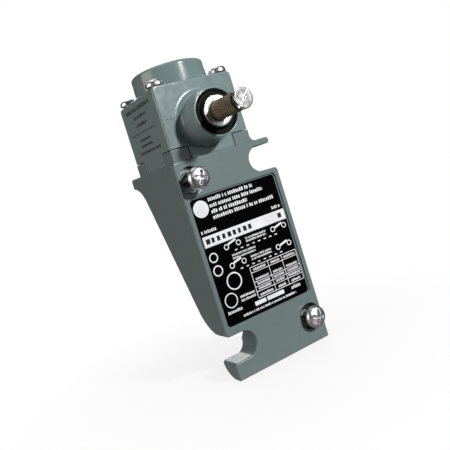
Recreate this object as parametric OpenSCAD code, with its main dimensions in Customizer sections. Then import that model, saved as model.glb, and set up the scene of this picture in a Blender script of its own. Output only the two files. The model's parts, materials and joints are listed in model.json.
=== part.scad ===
// Plug-in rotary limit switch: operating head with a shaft on a wedge-shaped switch body.
// Modules are drawn from the body's front, lower left corner: X to the right, Y to the back, Z up.
// from_corner() then moves them to the part's own origin, the middle of the slanted joint face.

/* [Body] */
// Width across the front
body_w = 42; // [41.5:0.1:43]
// Height from the bottom to the ledge that the head stands on
body_h = 80.2; // [80:0.1:82]
// Depth at the bottom edge, before the slanted back starts
foot_d = 7.4; // [7.2:0.1:8]
// Lean of the joint face from upright
back_angle = 20.4; // [20:0.1:21]
// Depth of the top ledge
ledge_d = 42; // [41.5:0.1:43]
// Radius of the hollow under the ledge
ledge_hollow_r = 10; // [9:0.5:10.5]
// Radius of the rounded lower rear edge
foot_r = 4.5; // [2:0.5:5]
// Thickness of the body's front wall
front_wall = 3; // [2.6:0.1:3.2]
// Thickness of the body's side walls
side_wall = 3; // [2.8:0.1:3.4]

/* [Mounting slots] */
// Half the width of each open slot
slot_r = 4.8; // [4.4:0.1:5]
// Distance of the slot centre from the nearer side
slot_inset = 6.3; // [5.8:0.1:6.6]
// Height of the lower slot's centre line
lower_slot_z = 11.2; // [11:0.1:11.6]
// Height of the upper slot's centre line
upper_slot_z = 73; // [72.8:0.1:73.2]

/* [Nameplate] */
// Width of the plate
plate_w = 36.9; // [36:0.1:37.2]
// Height of the plate
plate_h = 46.8; // [45:0.1:47.2]
// Thickness of the plate
plate_t = 0.5; // [0.4:0.05:0.6]
// Left edge of the plate
plate_x = 2.2; // [2:0.1:2.5]
// Bottom edge of the plate
plate_z = 19.2; // [19:0.1:20]

/* [Operating head] */
// Side of the square head
head_side = 33.5; // [33:0.1:34]
// Height of the head's block above the ledge
head_h = 28.2; // [28:0.1:29]
// Height of the body's corner posts
post_h = 4.6; // [4:0.1:5]
// Side of the square corner posts
post_side = 7.1; // [6.9:0.1:7.3]
// Radius of the round dome on top
dome_r = 14.3; // [14.2:0.1:15.6]
// Height of the dome
dome_h = 8.1; // [7:0.1:8.4]
// Radius of the shaft boss at its rim
boss_r = 8.95; // [8.8:0.05:9.2]
// How far the boss stands out of the head
boss_l = 10.2; // [10:0.1:10.6]

/* [Shaft and cam] */
// Diameter of the operating shaft
shaft_d = 7.14; // [7:0.02:7.2]
// Height of the shaft above the ledge
shaft_rise = 12.7; // [12.5:0.1:12.9]
// How far the shaft's tip is in front of the body
shaft_reach = 27.6; // [26:0.1:30]
// Turn from one rest position to the other
shaft_turn = 90; // [60:5:90]
// Travel of the plunger over that turn
plunger_travel = 4; // [3.5:0.1:4]
// Radius of the eccentric cam
cam_r = 7; // [6.9:0.1:7.1]

/* [Captive screws] */
// Radius of the pan head
cap_head_r = 4.2; // [4:0.1:4.3]
// Radius of the thread
cap_thread_r = 2; // [1.9:0.05:2]
// Radius of the counterbore
cap_bore_r = 4.9; // [4.8:0.1:5]
// How far the upper screw's head face stands in front of the body
upper_screw_out = 7.7; // [7:0.1:8]
// How far the lower screw's head face stands in front of the body
lower_screw_out = 5; // [4.5:0.1:5.5]

/* [Hidden] */
$fn = 96;

// Small gaps: a loose joint, a running fit and a cut that passes a face
gap = 0.15;
run = 0.04;
slip = 0.02;
past = 1;

back_slope = tan(back_angle);
origin_z = body_h / 2;
origin_y = foot_d + origin_z * back_slope;

plate_inset = 0.1;
recess_gap = 0.5;

head_x = 1;
head_y = 0.5;
head_cx = head_x + head_side / 2;
head_cy = head_y + head_side / 2;
head_top = body_h + head_h;
shaft_z = body_h + shaft_rise;
shaft_r = shaft_d / 2;
journal_r = shaft_r - 0.22;
boss_y = head_y - boss_l;
bush_front = boss_y - 1.3;
journal_y = bush_front - 0.3;
head_screw_inset = 3.3;
head_screw_r = 1.7;
head_screw_head_r = 3.3;
head_screw_head_t = 2.6;
screw_slot = 0.8;
screw_slot_t = 1.2;
head_wall = 3.5;
head_corner_r = 1.4;
dome_edge_r = 1.5;
dome_wall = 3;
boss_flare_r = 2.4;
cavity_w = 20;

// The hollow of the body that holds the contact block
room_z0 = 26;
room_z1 = 66;
room_corner_r = 2;
ear_boss_r = 3;
ear_boss_l = 3;
ear_tap_r = 1.3;
ground_z = room_z0 + 5;
gasket_w = 1.4;
gasket_t = 1.2;
gasket_gap = 0.3;
gasket_proud = 0.4;

// The cam's centre circles the shaft, and its flat follower moves by the upright part of that
cam_throw = plunger_travel / 2 / sin(shaft_turn / 2);
cam_lag = 0.12;
cam_w = 5;
plunger_r = 3;
plunger_top = shaft_z + plunger_travel / 2 - cam_r - cam_lag;
plunger_foot = 64;
pad_t = 1.6;
pad_r = 4.8;
spring_seat_z = 74;
spring_r = 4.6;
spring_bore_r = 5.4;
plunger_bore_r = 4.4;

detent_y = 24.3;
detent_r = 7.5;
detent_w = 3;
detent_depth = 1;
nose_r = 2;
nose_z = shaft_z + detent_r - detent_depth + nose_r;
detent_bore_r = 2.7;
detent_bore_h = 13;
detent_body_r = 2.6;
detent_body_l = 5;
pin_r = 1;
pin_half_l = 3.9;

bush_r = 5.65;
seal_r = 8.2;
seal_seat_t = 2.2;
seal_inset = 0.3;
seal_t = 1.8;
bush_back = head_y + head_wall + 0.2;
ring_t = 0.8;
ring_r = 5;
neck_r = 2.8;
neck_w = 1.4;
tip_w = 1.6;
tip_chamfer = 0.4;
tip_slot_t = 1.2;
rear_shaft_r = 2.5;
rear_bush_r = 3.8;
rear_bush_l = 4;

cap_head_t = 2.6;
cap_neck_r = 1.6;
cap_collar_l = 1.5;
cap_hole_r = 2.3;
cap_seat_y = 3.5;
cap_upper = [5.4, 72.85];
cap_lower = [36.6, 10];
upper_retainer_y = 24;
lower_retainer_y = 4.5;
retainer_t = 0.8;
retainer_r = cap_hole_r + 0.8;
upper_thread_l = 6.5;
lower_thread_l = 4.2;
o_ring_t = 1;
o_ring_r = 2.6;
washer_t = 1;
washer_r_in = 2.75;
washer_r_out = 4.7;

block_half_w = 12;
block_x0 = head_cx - block_half_w;
block_x1 = head_cx + block_half_w;
block_z0 = 38;
block_z1 = 65.4;
block_wall = 1.8;
block_front = 4.2;
cover_t = 1.6;
cover_inset = 0.4;
ear_w = 6.6;
ear_front = front_wall + ear_boss_l + 0.05;
ear_t = 2.95;
ear_screws = [44, 60];
ear_screw_x = head_cx + block_half_w + 3.6;
terminal_x = 6.75;
strip_w = 4;
strip_t = 0.8;
button_r = 1.6;
button_t = 0.6;
blade_out = 7;
bridge_y = 4;
contact_air = 0.05;
contact_spring_l = 3;
upper_bridge_z = 58.4;
lower_bridge_z = 50.4;
// Undersides of the fixed contacts' strips
upper_strip_z = upper_bridge_z + strip_t + 2 * button_t + contact_air;
lower_strip_z = lower_bridge_z - plunger_travel - 2 * button_t - contact_air - strip_t;
carrier_top = plunger_foot;
carrier_foot = 46;
carrier_w = 6;
carrier_d = 5;

// ---- helpers ----

module from_corner() translate([-body_w / 2, -origin_y, -origin_z]) children();

// A cylinder along Y that starts at the point p
module rod_y(p, r, l) translate(p) rotate([-90, 0, 0]) cylinder(r = r, h = l);

// A solid of revolution about a line along Y, from a profile of [radius, y] points
module turned_y(x, z, profile) translate([x, 0, z]) rotate([-90, 0, 0]) rotate_extrude() polygon(profile);

// A ring about a line along Y, between two places along it
module ring_y(x, z, r_in, r_out, y0, y1) turned_y(x, z, [[r_in, y0], [r_out, y0], [r_out, y1], [r_in, y1]]);

module tube(r_out, r_in, h) difference() {
    cylinder(r = r_out, h = h);
    translate([0, 0, -past]) cylinder(r = r_in, h = h + 2 * past);
}

// The depth of the slanted joint face at height z
function back_y(z) = foot_d + z * back_slope;

// Extrudes a [y, z] outline along X
module side_extrude(x0, x1) translate([x0, 0, 0]) rotate([90, 0, 90]) linear_extrude(x1 - x0) children();

// Extrudes an [x, z] outline along Y
module front_extrude(y0, y1) translate([0, y1, 0]) rotate([90, 0, 0]) linear_extrude(y1 - y0) children();

module round_rect(x0, z0, x1, z1, r) {
    translate([x0 + r, z0]) square([x1 - x0 - 2 * r, z1 - z0]);
    translate([x0, z0 + r]) square([x1 - x0, z1 - z0 - 2 * r]);
    for (x = [x0 + r, x1 - r], z = [z0 + r, z1 - r]) translate([x, z]) circle(r);
}

// What rounds off the corner at p between a level edge that runs to -Y and the slanted face,
// where the solid is above the edge
module slant_corner(p, r) {
    run_in = r * tan((90 - back_angle) / 2);
    difference() {
        polygon([
            p + [past, -past],
            p - [run_in, past],
            p - [run_in, 0],
            p + [-run_in, r],
            p + run_in * [sin(back_angle), cos(back_angle)],
            p + run_in * [sin(back_angle), cos(back_angle)] + [past, 0]
        ]);
        translate(p + [-run_in, r]) circle(r);
    }
}

// ---- body ----

// The wedge seen from the side, with the ledge's hollow underside
module side_outline() {
    hollow_z = 69.5;
    hollow = [back_y(hollow_z), hollow_z] + ledge_hollow_r * [cos(back_angle), -sin(back_angle)];
    difference() {
        polygon([[0, 0], [foot_d, 0], [back_y(hollow_z), hollow_z], [back_y(hollow_z), hollow_z + 2],
            [ledge_d, hollow[1]], [ledge_d, body_h], [0, body_h]]);
        polygon([
            [back_y(hollow_z), hollow_z], hollow, [hollow[0] + past, hollow_z - past], [back_y(0) + past, 0]
        ]);
        translate(hollow) circle(ledge_hollow_r);
        slant_corner([foot_d, 0], foot_r);
    }
}

// An open slot with a round end, reaching one side of the body
module open_slot(x, z, to_x) {
    translate([x, z]) circle(slot_r);
    translate([min(x, to_x), z - slot_r]) square([abs(to_x - x), 2 * slot_r]);
}

module body_outline() difference() {
    round_rect(0, 0, body_w, body_h, 1.2);
    open_slot(slot_inset, lower_slot_z, -past);
    open_slot(body_w - slot_inset, upper_slot_z, body_w + past);
}

// The cross-shaped place for the head's lower end leaves four posts, one at each corner
module corner_posts(grow = 0) {
    far = head_side - post_side;
    side = post_side + 2 * grow;
    for (x = [head_x, head_x + far], y = [head_y, head_y + far])
        translate([x - grow, y - grow, body_h - past]) cube([side, side, post_h + past + grow]);
}

module captive_bore(at, retainer_y) {
    rod_y([at[0], -past, at[1]], cap_hole_r, ledge_d + 2 * past);
    rod_y([at[0], -past, at[1]], cap_bore_r, cap_seat_y + past);
    rod_y([at[0], retainer_y, at[1]], retainer_r, retainer_t);
}

module room_outline(grow)
    round_rect(side_wall - grow, room_z0 - grow, body_w - side_wall + grow, room_z1 + grow, room_corner_r);

// The room behind the front wall, and the step around its mouth that the gasket lies in
module contact_room(grow, depth) intersection() {
    front_extrude(-past, ledge_d)
        room_outline(grow);
    side_extrude(0, body_w) polygon([
        for (z = [0, body_h]) [max(front_wall, back_y(z) - depth / cos(back_angle)), z],
        [back_y(body_h) + past, body_h],
        [back_y(0) + past, 0]
    ]);
}

module body_housing() color("slategray") from_corner() difference() {
    union() {
        intersection() {
            side_extrude(0, body_w) side_outline();
            front_extrude(-past, ledge_d + past) body_outline();
        }
        corner_posts();
        for (z = ear_screws) rod_y([ear_screw_x, front_wall - 0.2, z], ear_boss_r, ear_boss_l + 0.2);
    }
    // rounded rear edge over the lower slot
    side_extrude(-past, slot_inset + slot_r)
        slant_corner([back_y(lower_slot_z + slot_r), lower_slot_z + slot_r], foot_d);
    // recess of the nameplate
    front_extrude(-past, plate_t + plate_inset) round_rect(plate_x - recess_gap, plate_z - recess_gap,
        plate_x + plate_w + 0.9, plate_z + plate_h + recess_gap, 1.6);
    // room for the contact block, leaving the screw bosses
    difference() {
        contact_room(0, 60);
        for (z = ear_screws) rod_y([ear_screw_x, front_wall - 0.2, z], ear_boss_r, ear_boss_l + 0.2);
    }
    contact_room(gasket_w, gasket_t);
    // plunger guide, spring seat and head gasket groove
    translate([head_cx, head_cy, room_z1 - past]) cylinder(r = plunger_bore_r, h = body_h);
    translate([head_cx, head_cy, spring_seat_z]) cylinder(r = spring_bore_r, h = body_h);
    translate([head_cx, head_cy, body_h - 0.8]) tube(9.6, 7.4, 2 * past);
    captive_bore(cap_upper, upper_retainer_y);
    captive_bore(cap_lower, lower_retainer_y);
    // tapped holes
    for (z = ear_screws) rod_y([ear_screw_x, 1.6, z], ear_tap_r, 10);
    head_screw_places() translate([0, 0, body_h - past]) cylinder(r = head_screw_r, h = 10);
    rod_y([head_cx, 1.6, ground_z], ear_tap_r, 10);
}

module nameplate() color("black") from_corner() front_extrude(plate_inset, plate_t + plate_inset)
    round_rect(plate_x, plate_z, plate_x + plate_w, plate_z + plate_h, 1.2);

module rear_gasket() color("dimgray") from_corner() difference() {
    grow = gasket_w - gasket_gap;
    slant_slab(gasket_t, gasket_proud)
        room_outline(grow);
    front_extrude(-past, ledge_d + past) room_outline(0);
}

// A plate parallel to the joint face, from inside it to outside it, with an [x, z] outline
module slant_slab(inside, outside) intersection() {
    front_extrude(-past, ledge_d + 2 * past) children();
    side_extrude(0, body_w) polygon([
        for (z = [0, body_h]) [back_y(z) - inside / cos(back_angle), z],
        for (z = [body_h, 0]) [back_y(z) + outside / cos(back_angle), z]
    ]);
}

// ---- operating head ----

module head_screw_places() {
    far = head_side - head_screw_inset;
    for (x = [head_screw_inset, far], y = [head_screw_inset, far])
        translate([head_x + x, head_y + y, 0]) children();
}

module head_housing() color("lightslategray") from_corner() difference() {
    union() {
        translate([0, head_y, body_h]) linear_extrude(head_h)
            round_rect(head_x, 0, head_x + head_side, head_side, head_corner_r);
        translate([head_cx, head_cy, head_top - past]) rotate_extrude() union() {
            square([dome_r, dome_h + past - dome_edge_r]);
            square([dome_r - dome_edge_r, dome_h + past]);
            translate([dome_r - dome_edge_r, dome_h + past - dome_edge_r]) circle(dome_edge_r);
        }
        // boss with a flared root
        rod_y([head_cx, boss_y, shaft_z], boss_r, boss_l + past);
        translate([head_cx, head_y, shaft_z]) rotate([90, 0, 0]) rotate_extrude() difference() {
            translate([0, -past]) square([boss_r + boss_flare_r, boss_flare_r + past]);
            translate([boss_r + boss_flare_r, boss_flare_r]) circle(boss_flare_r);
        }
    }
    corner_posts(gap);
    // room for the cam, its cover in the dome and the guide of the detent
    difference() {
        union() {
            translate([head_cx - cavity_w / 2, head_y + head_wall, body_h - past])
                cube([cavity_w, head_side - 2 * head_wall, head_h - head_wall + past]);
            translate([head_cx, head_cy, head_top - head_wall - past])
                cylinder(r = dome_r - dome_wall, h = dome_h + head_wall - 1.2);
        }
        translate([head_cx, detent_y, shaft_z + detent_r + 2.6]) cylinder(r = 4.2, h = head_h);
        rod_y([head_cx, head_y + head_side - head_wall - 3, shaft_z], 5.6, 4);
    }
    translate([head_cx, detent_y, shaft_z + detent_r]) cylinder(r = detent_bore_r, h = detent_bore_h);
    // bearing bores and the seal's seat
    rod_y([head_cx, boss_y - past, shaft_z], bush_r, boss_l + head_wall + 2 * past);
    rod_y([head_cx, boss_y - past, shaft_z], seal_r, seal_seat_t + past);
    rod_y([head_cx, head_y + head_side - head_wall - 3 - past, shaft_z], rear_bush_r, 5 + past);
    head_screw_places() translate([0, 0, body_h - past])
        cylinder(r = head_screw_r + 0.2, h = head_h + 2 * past);
}

module head_gasket() color("black") from_corner()
    translate([head_cx, head_cy, body_h - 0.8]) tube(9.5, 7.5, 0.8);

module head_screws() color("silver") from_corner() head_screw_places() difference() {
    union() {
        translate([0, 0, head_top])
            cylinder(r1 = head_screw_head_r, r2 = head_screw_head_r - 0.5, h = head_screw_head_t);
        translate([0, 0, body_h - 0.8]) cylinder(r = head_screw_r - slip, h = head_h + past);
    }
    translate([-head_side / 2, -screw_slot / 2, head_top + head_screw_head_t - screw_slot_t])
        cube([head_side, screw_slot, 2 * screw_slot_t]);
}

module shaft_bush() color("gainsboro") from_corner()
    ring_y(head_cx, shaft_z, journal_r + run, bush_r, bush_front, bush_back);

module shaft_seal() color("black") from_corner()
    ring_y(head_cx, shaft_z, bush_r + slip, seal_r - slip, boss_y + seal_inset, boss_y + seal_inset + seal_t);

// ---- shaft group: it turns about the shaft's axis ----

module operating_shaft() color("saddlebrown") from_corner() difference() {
    front = -shaft_reach;
    neck_y = front + tip_w;
    knurl_y = neck_y + neck_w;
    rear_y = detent_y + detent_w / 2 + 0.8;
    end_y = head_y + head_side - head_wall - 0.4;
    groove_y = bush_back + 0.1;
    turned_y(head_cx, shaft_z, [
        [0, front], [shaft_r - tip_chamfer, front], [shaft_r, front + tip_chamfer], [shaft_r, neck_y],
        [neck_r, neck_y], [neck_r, knurl_y], [shaft_r, knurl_y], [shaft_r, journal_y],
        [journal_r, journal_y], [journal_r, groove_y], [neck_r, groove_y], [neck_r, groove_y + ring_t],
        [journal_r, groove_y + ring_t], [journal_r, rear_y],
        [rear_shaft_r, rear_y], [rear_shaft_r, end_y], [0, end_y]
    ]);
    // screwdriver slot, half the turn away from upright at rest
    translate([head_cx, front, shaft_z]) rotate([0, shaft_turn / 2, 0])
        cube([screw_slot, 2 * tip_slot_t, 2 * shaft_d], center = true);
    // cross hole for the cam's pin
    translate([head_cx, head_cy, shaft_z]) cylinder(r = pin_r, h = 4 * shaft_d, center = true);
}

module shaft_retaining_ring() color("dimgray") from_corner()
    ring_y(head_cx, shaft_z, neck_r + slip, ring_r, bush_back + 0.12, bush_back + 0.08 + ring_t);

module cam() color("gray") from_corner() difference() {
    side = cam_throw * cos(shaft_turn / 2);
    rise = cam_throw * sin(shaft_turn / 2);
    rod_y([head_cx - side, head_cy - cam_w / 2, shaft_z + rise], cam_r, cam_w);
    rod_y([head_cx, head_cy - cam_w, shaft_z], journal_r + 0.01, 2 * cam_w);
    translate([head_cx, head_cy, shaft_z]) cylinder(r = pin_r, h = 4 * cam_r, center = true);
}

module cam_pin() color("silver") from_corner() translate([head_cx, head_cy, shaft_z - pin_half_l])
    cylinder(r = pin_r - slip, h = 2 * pin_half_l);

// A disc with two notches, one turn apart, and a relieved edge between them
module detent_disc() color("gray") from_corner() difference() {
    rod_y([head_cx, detent_y - detent_w / 2, shaft_z], detent_r, detent_w);
    rod_y([head_cx, detent_y - detent_w, shaft_z], journal_r + 0.01, 2 * detent_w);
    // steps of the relieved edge, from the notch at the top towards the right
    for (a = [0:shaft_turn / 30:shaft_turn]) translate([head_cx, detent_y, shaft_z]) rotate([0, a, 0])
        translate([0, -detent_w, detent_r - detent_depth + nose_r]) rotate([-90, 0, 0])
            cylinder(r = nose_r + gap, h = 2 * detent_w, $fn = 32);
}

// ---- held in the dome ----

module detent_plunger() color("silver") from_corner() translate([head_cx, detent_y, nose_z]) {
    sphere(r = nose_r - 0.05, $fn = 48);
    cylinder(r = detent_body_r, h = detent_body_l);
}

module detent_spring() color("silver") from_corner() translate([head_cx, detent_y, nose_z + detent_body_l])
    tube(2.4, 1.7, shaft_z + detent_r + detent_bore_h - nose_z - detent_body_l);

module rear_bush() color("darkgoldenrod") from_corner()
    translate([0, head_y + head_side - head_wall - 2.8, 0])
    ring_y(head_cx, shaft_z, rear_shaft_r + run, rear_bush_r - slip, 0, rear_bush_l);

// ---- plunger group: it moves up and down ----

module transfer_plunger() color("silver") from_corner() translate([head_cx, head_cy, 0]) {
    translate([0, 0, plunger_foot]) cylinder(r = plunger_r, h = plunger_top - plunger_foot - pad_t + 0.1);
    translate([0, 0, plunger_top - pad_t]) cylinder(r = pad_r, h = pad_t);
}

module plunger_guide() color("darkgoldenrod") from_corner() translate([head_cx, head_cy, room_z1 + 0.4])
    tube(plunger_bore_r - slip, plunger_r + run, spring_seat_z - room_z1 - 0.4);

module plunger_seal() color("black") from_corner() translate([head_cx, head_cy, spring_seat_z])
    tube(spring_bore_r - 0.1, plunger_r + 0.08, 1);

module plunger_spring() color("silver") from_corner() translate([head_cx, head_cy, spring_seat_z + 1])
    tube(spring_r, 3.5, plunger_top - pad_t - spring_seat_z - 1);

// ---- contact block ----

// A wedge between two heights, from a front plane to just inside the joint face
module wedge(x0, x1, z0, z1, front, inset) side_extrude(x0, x1) polygon([
    [front, z0],
    for (z = [z0, z1]) [back_y(z) - inset / cos(back_angle), z],
    [front, z1]
]);

module contact_block_case() color([0.1, 0.1, 0.1]) from_corner() difference() {
    union() {
        wedge(block_x0, block_x1, block_z0, block_z1, block_front, cover_inset + cover_t);
        front_extrude(ear_front, ear_front + ear_t)
            round_rect(head_cx + 2, block_z0 + 2, block_x1 + ear_w, block_z1 - 1.5, 1);
    }
    wedge(block_x0 + block_wall, block_x1 - block_wall, block_z0 + block_wall, block_z1 - block_wall,
        block_front + block_wall, -past);
    translate([head_cx, head_cy, block_z1 - 4]) cylinder(r = plunger_r + 1, h = 8);
    for (z = ear_screws) rod_y([ear_screw_x, 0, z], 1.5, 20);
}

module contact_block_cover() color("firebrick") from_corner() difference() {
    slant_slab(cover_inset + cover_t, -cover_inset) round_rect(block_x0, block_z0, block_x1, block_z1, 1);
    for (side = [-1, 1], z = [upper_strip_z, lower_strip_z])
        translate([head_cx + side * terminal_x - strip_w / 2 - gap, 0, z - gap])
            cube([strip_w + 2 * gap, ledge_d, strip_t + 2 * gap]);
}

module contact_block_screws() color("silver") from_corner() for (z = ear_screws) {
    head_face = ear_front + ear_t + 0.05;
    rod_y([ear_screw_x, 2, z], ear_tap_r - slip, head_face - 2 + 0.15);
    difference() {
        rod_y([ear_screw_x, head_face, z], 2.4, 1.6);
        translate([ear_screw_x - 3, head_face + 0.85, z - 0.3]) cube([6, 2, 0.6]);
    }
}

module strips(z, button_z) for (side = [-1, 1]) translate([head_cx + side * terminal_x, 0, 0]) {
    translate([-strip_w / 2, head_cy - strip_w / 2, z])
        cube([strip_w, back_y(z) + blade_out - head_cy + strip_w / 2, strip_t]);
    translate([0, head_cy, button_z]) cylinder(r = button_r, h = button_t);
}

module upper_terminals() color("goldenrod") from_corner() strips(upper_strip_z, upper_strip_z - button_t);

module lower_terminals() color("goldenrod") from_corner() strips(lower_strip_z, lower_strip_z + strip_t);

module bridge(z, button_z) {
    translate([head_cx - terminal_x - bridge_y / 2, head_cy - bridge_y / 2, z])
        cube([2 * terminal_x + bridge_y, bridge_y, strip_t]);
    for (side = [-1, 1]) translate([head_cx + side * terminal_x, head_cy, button_z])
        cylinder(r = button_r, h = button_t);
}

module upper_bridge() color("peru") from_corner() bridge(upper_bridge_z, upper_bridge_z + strip_t);

module lower_bridge() color("peru") from_corner() bridge(lower_bridge_z, lower_bridge_z - button_t);

module contact_carrier() color("whitesmoke") from_corner() difference() {
    translate([head_cx - carrier_w / 2, head_cy - carrier_d / 2, carrier_foot])
        cube([carrier_w, carrier_d, carrier_top - carrier_foot]);
    // windows: the upper bridge is pushed up in its window, and the lower one down
    for (z = [upper_bridge_z - contact_spring_l, lower_bridge_z - slip])
        translate([head_cx - carrier_w, head_cy - bridge_y / 2 - slip, z])
            cube([2 * carrier_w, bridge_y + 2 * slip, contact_spring_l + strip_t + slip]);
}

module contact_springs() color("silver") from_corner()
    for (z = [upper_bridge_z - contact_spring_l, lower_bridge_z + strip_t])
    translate([head_cx, head_cy, z]) tube(1.6, 1.1, contact_spring_l - run);

module ground_terminal() color("goldenrod") from_corner() {
    half = 3.5;
    difference() {
        translate([head_cx - strip_w, front_wall, ground_z - half]) cube([2 * strip_w, strip_t, 2 * half]);
        rod_y([head_cx, 0, ground_z], 1.5, 10);
    }
    translate([head_cx - strip_w / 2, front_wall, ground_z + half - strip_t])
        cube([strip_w, back_y(ground_z) + blade_out - front_wall, strip_t]);
}

module ground_screw() color("seagreen") from_corner() {
    rod_y([head_cx, 2, ground_z], ear_tap_r - slip, front_wall - 1);
    rod_y([head_cx, front_wall + strip_t, ground_z], 2.2, 1.4);
}

// ---- captive screws ----

module captive_screw(at, out, end_y, thread_l) difference() {
    y0 = -out;
    y1 = y0 + cap_head_t;
    turned_y(at[0], at[1], [
        [0, y0], [cap_head_r - 1.2, y0 + 0.15], [cap_head_r - 0.3, y0 + 0.9], [cap_head_r, y0 + 1.6],
        [cap_head_r, y1], [cap_thread_r, y1], [cap_thread_r, y1 + cap_collar_l],
        [cap_neck_r, y1 + cap_collar_l + 0.4], [cap_neck_r, end_y - thread_l - 0.4],
        [cap_thread_r, end_y - thread_l], [cap_thread_r, end_y - 0.5], [cap_thread_r - 0.5, end_y], [0, end_y]
    ]);
    // cross recess
    for (a = [20, 110]) translate([at[0], y0, at[1]]) rotate([0, a, 0]) cube([4.4, 2.8, 0.9], center = true);
}

module upper_captive_screw() color("silver") from_corner()
    captive_screw(cap_upper, upper_screw_out, back_y(cap_upper[1]) - 1.2, upper_thread_l);

module lower_captive_screw() color("silver") from_corner()
    captive_screw(cap_lower, lower_screw_out, back_y(cap_lower[1]) - 1, lower_thread_l);

// Lies against the underside of the screw's head
module o_ring(at, out) translate([0, cap_head_t - out + slip, 0])
    ring_y(at[0], at[1], cap_thread_r + 0.03, o_ring_r, 0, o_ring_t);

module upper_screw_o_ring() color("black") from_corner() o_ring(cap_upper, upper_screw_out);

module lower_screw_o_ring() color("black") from_corner() o_ring(cap_lower, lower_screw_out);

module screw_washers() color("silver") from_corner() for (at = [cap_upper, cap_lower])
    ring_y(at[0], at[1], washer_r_in, washer_r_out, cap_seat_y - washer_t, cap_seat_y);

module retainer(at, y) {
    r_in = cap_neck_r + 0.06;
    r_out = retainer_r - 0.05;
    y0 = y + slip;
    y1 = y + retainer_t - slip;
    ring_y(at[0], at[1], r_in, r_out, y0, y1);
}

module screw_retainers() color("white") from_corner() {
    retainer(cap_upper, upper_retainer_y);
    retainer(cap_lower, lower_retainer_y);
}

body_housing();
nameplate();
rear_gasket();
head_housing();
head_gasket();
head_screws();
shaft_bush();
shaft_seal();
operating_shaft();
shaft_retaining_ring();
rear_bush();
cam();
cam_pin();
detent_disc();
detent_plunger();
detent_spring();
transfer_plunger();
plunger_guide();
plunger_seal();
plunger_spring();
contact_block_case();
contact_block_cover();
contact_block_screws();
contact_carrier();
upper_bridge();
lower_bridge();
contact_springs();
upper_terminals();
lower_terminals();
ground_terminal();
ground_screw();
upper_captive_screw();
upper_screw_o_ring();
lower_captive_screw();
lower_screw_o_ring();
screw_washers();
screw_retainers();
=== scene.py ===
"""Rotary limit switch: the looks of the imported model.

Shapes are written in millimetres from the body's front, lower left corner: x to the right, y to the
back, z up. Cast and machined pieces are signed distance fields, meshed by solid_piece().
"""
import json
import math
import random

import bmesh
import bpy
import numpy as np
from mathutils import Matrix, Vector

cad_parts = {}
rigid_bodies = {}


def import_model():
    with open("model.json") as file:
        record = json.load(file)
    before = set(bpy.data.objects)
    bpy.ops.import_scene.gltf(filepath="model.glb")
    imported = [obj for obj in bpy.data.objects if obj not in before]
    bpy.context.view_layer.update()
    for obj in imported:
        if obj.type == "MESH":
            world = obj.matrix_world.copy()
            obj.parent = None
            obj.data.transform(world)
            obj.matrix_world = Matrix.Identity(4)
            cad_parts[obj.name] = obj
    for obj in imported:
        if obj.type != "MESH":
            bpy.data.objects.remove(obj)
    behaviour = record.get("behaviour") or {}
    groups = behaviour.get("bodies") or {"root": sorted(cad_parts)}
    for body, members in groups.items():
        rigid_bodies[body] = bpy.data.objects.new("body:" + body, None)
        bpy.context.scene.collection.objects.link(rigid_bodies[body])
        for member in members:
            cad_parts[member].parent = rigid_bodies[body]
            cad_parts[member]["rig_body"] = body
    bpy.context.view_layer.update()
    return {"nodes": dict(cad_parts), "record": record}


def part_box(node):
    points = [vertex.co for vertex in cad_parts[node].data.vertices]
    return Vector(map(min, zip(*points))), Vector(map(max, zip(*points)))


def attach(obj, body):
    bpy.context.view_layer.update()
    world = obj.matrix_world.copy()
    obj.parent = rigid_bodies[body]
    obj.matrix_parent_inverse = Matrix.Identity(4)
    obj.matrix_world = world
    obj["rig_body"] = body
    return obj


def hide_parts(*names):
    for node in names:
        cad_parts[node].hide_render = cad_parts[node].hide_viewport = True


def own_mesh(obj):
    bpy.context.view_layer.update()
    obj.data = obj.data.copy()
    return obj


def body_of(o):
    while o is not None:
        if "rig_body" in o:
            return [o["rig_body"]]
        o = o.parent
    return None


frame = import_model()

MM = 0.001
CORNER = np.array(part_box("body_housing")[0])
SLOT_OF = {part["node"]: part["material_slot"] for part in frame["record"]["subparts"]}


def box_mm(node):
    """Lowest and highest corner of a CAD node, in millimetres from the body's corner."""
    low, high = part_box(node)
    return (np.array(low) - CORNER) / MM, (np.array(high) - CORNER) / MM


def to_frame(points):
    """Millimetres from the body's corner to metres in the frame."""
    return np.asarray(points, float) * MM + CORNER


# ---- driving sizes, in millimetres ----

BODY_LOW, BODY_HIGH = box_mm("body_housing")
HEAD_LOW, HEAD_HIGH = box_mm("head_housing")
PLATE_LOW, PLATE_HIGH = box_mm("nameplate")
SHAFT_LOW, SHAFT_HIGH = box_mm("operating_shaft")
BUSH_LOW, BUSH_HIGH = box_mm("shaft_bush")
SEAL_LOW, SEAL_HIGH = box_mm("shaft_seal")

# body casting
WIDTH = BODY_HIGH[0]
LEDGE_DEPTH = BODY_HIGH[1]
LEDGE_Z = 80.2
POST_TOP = BODY_HIGH[2]
POST_SIDE = 7.1
POST_FILLET_R = 2.0
FOOT_DEPTH = 7.4
LEAN = math.radians(20.4)
HOLLOW_R = 10.0
HOLLOW_Z = 69.5
FOOT_R = 4.5
EDGE_R = 0.5
CORNER_R = 1.2
SLOT_R = 4.8
SCOOP_R = 9.0
LOWER_SLOT = (6.3, 11.2)
UPPER_SLOT = (WIDTH - 6.3, 73.0)
UPPER_SCREW = (5.4, 72.85)
LOWER_SCREW = (36.6, 10.0)
COUNTERBORE_R = 4.9
COUNTERBORE_Y = 3.5
SCREW_HOLE_R = 2.3
PLATE_GAP = 0.5
PLATE_GAP_RIGHT = 0.9
ROOM_LOW, ROOM_HIGH = (3.0, 26.0), (39.0, 66.0)
ROOM_CORNER_R = 2.0
FRONT_WALL = 3.0
GASKET_W, GASKET_T = 1.4, 1.2
EAR_X = 33.35
EAR_Z = (44.0, 60.0)
EAR_R, EAR_L = 3.0, 3.0
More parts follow.
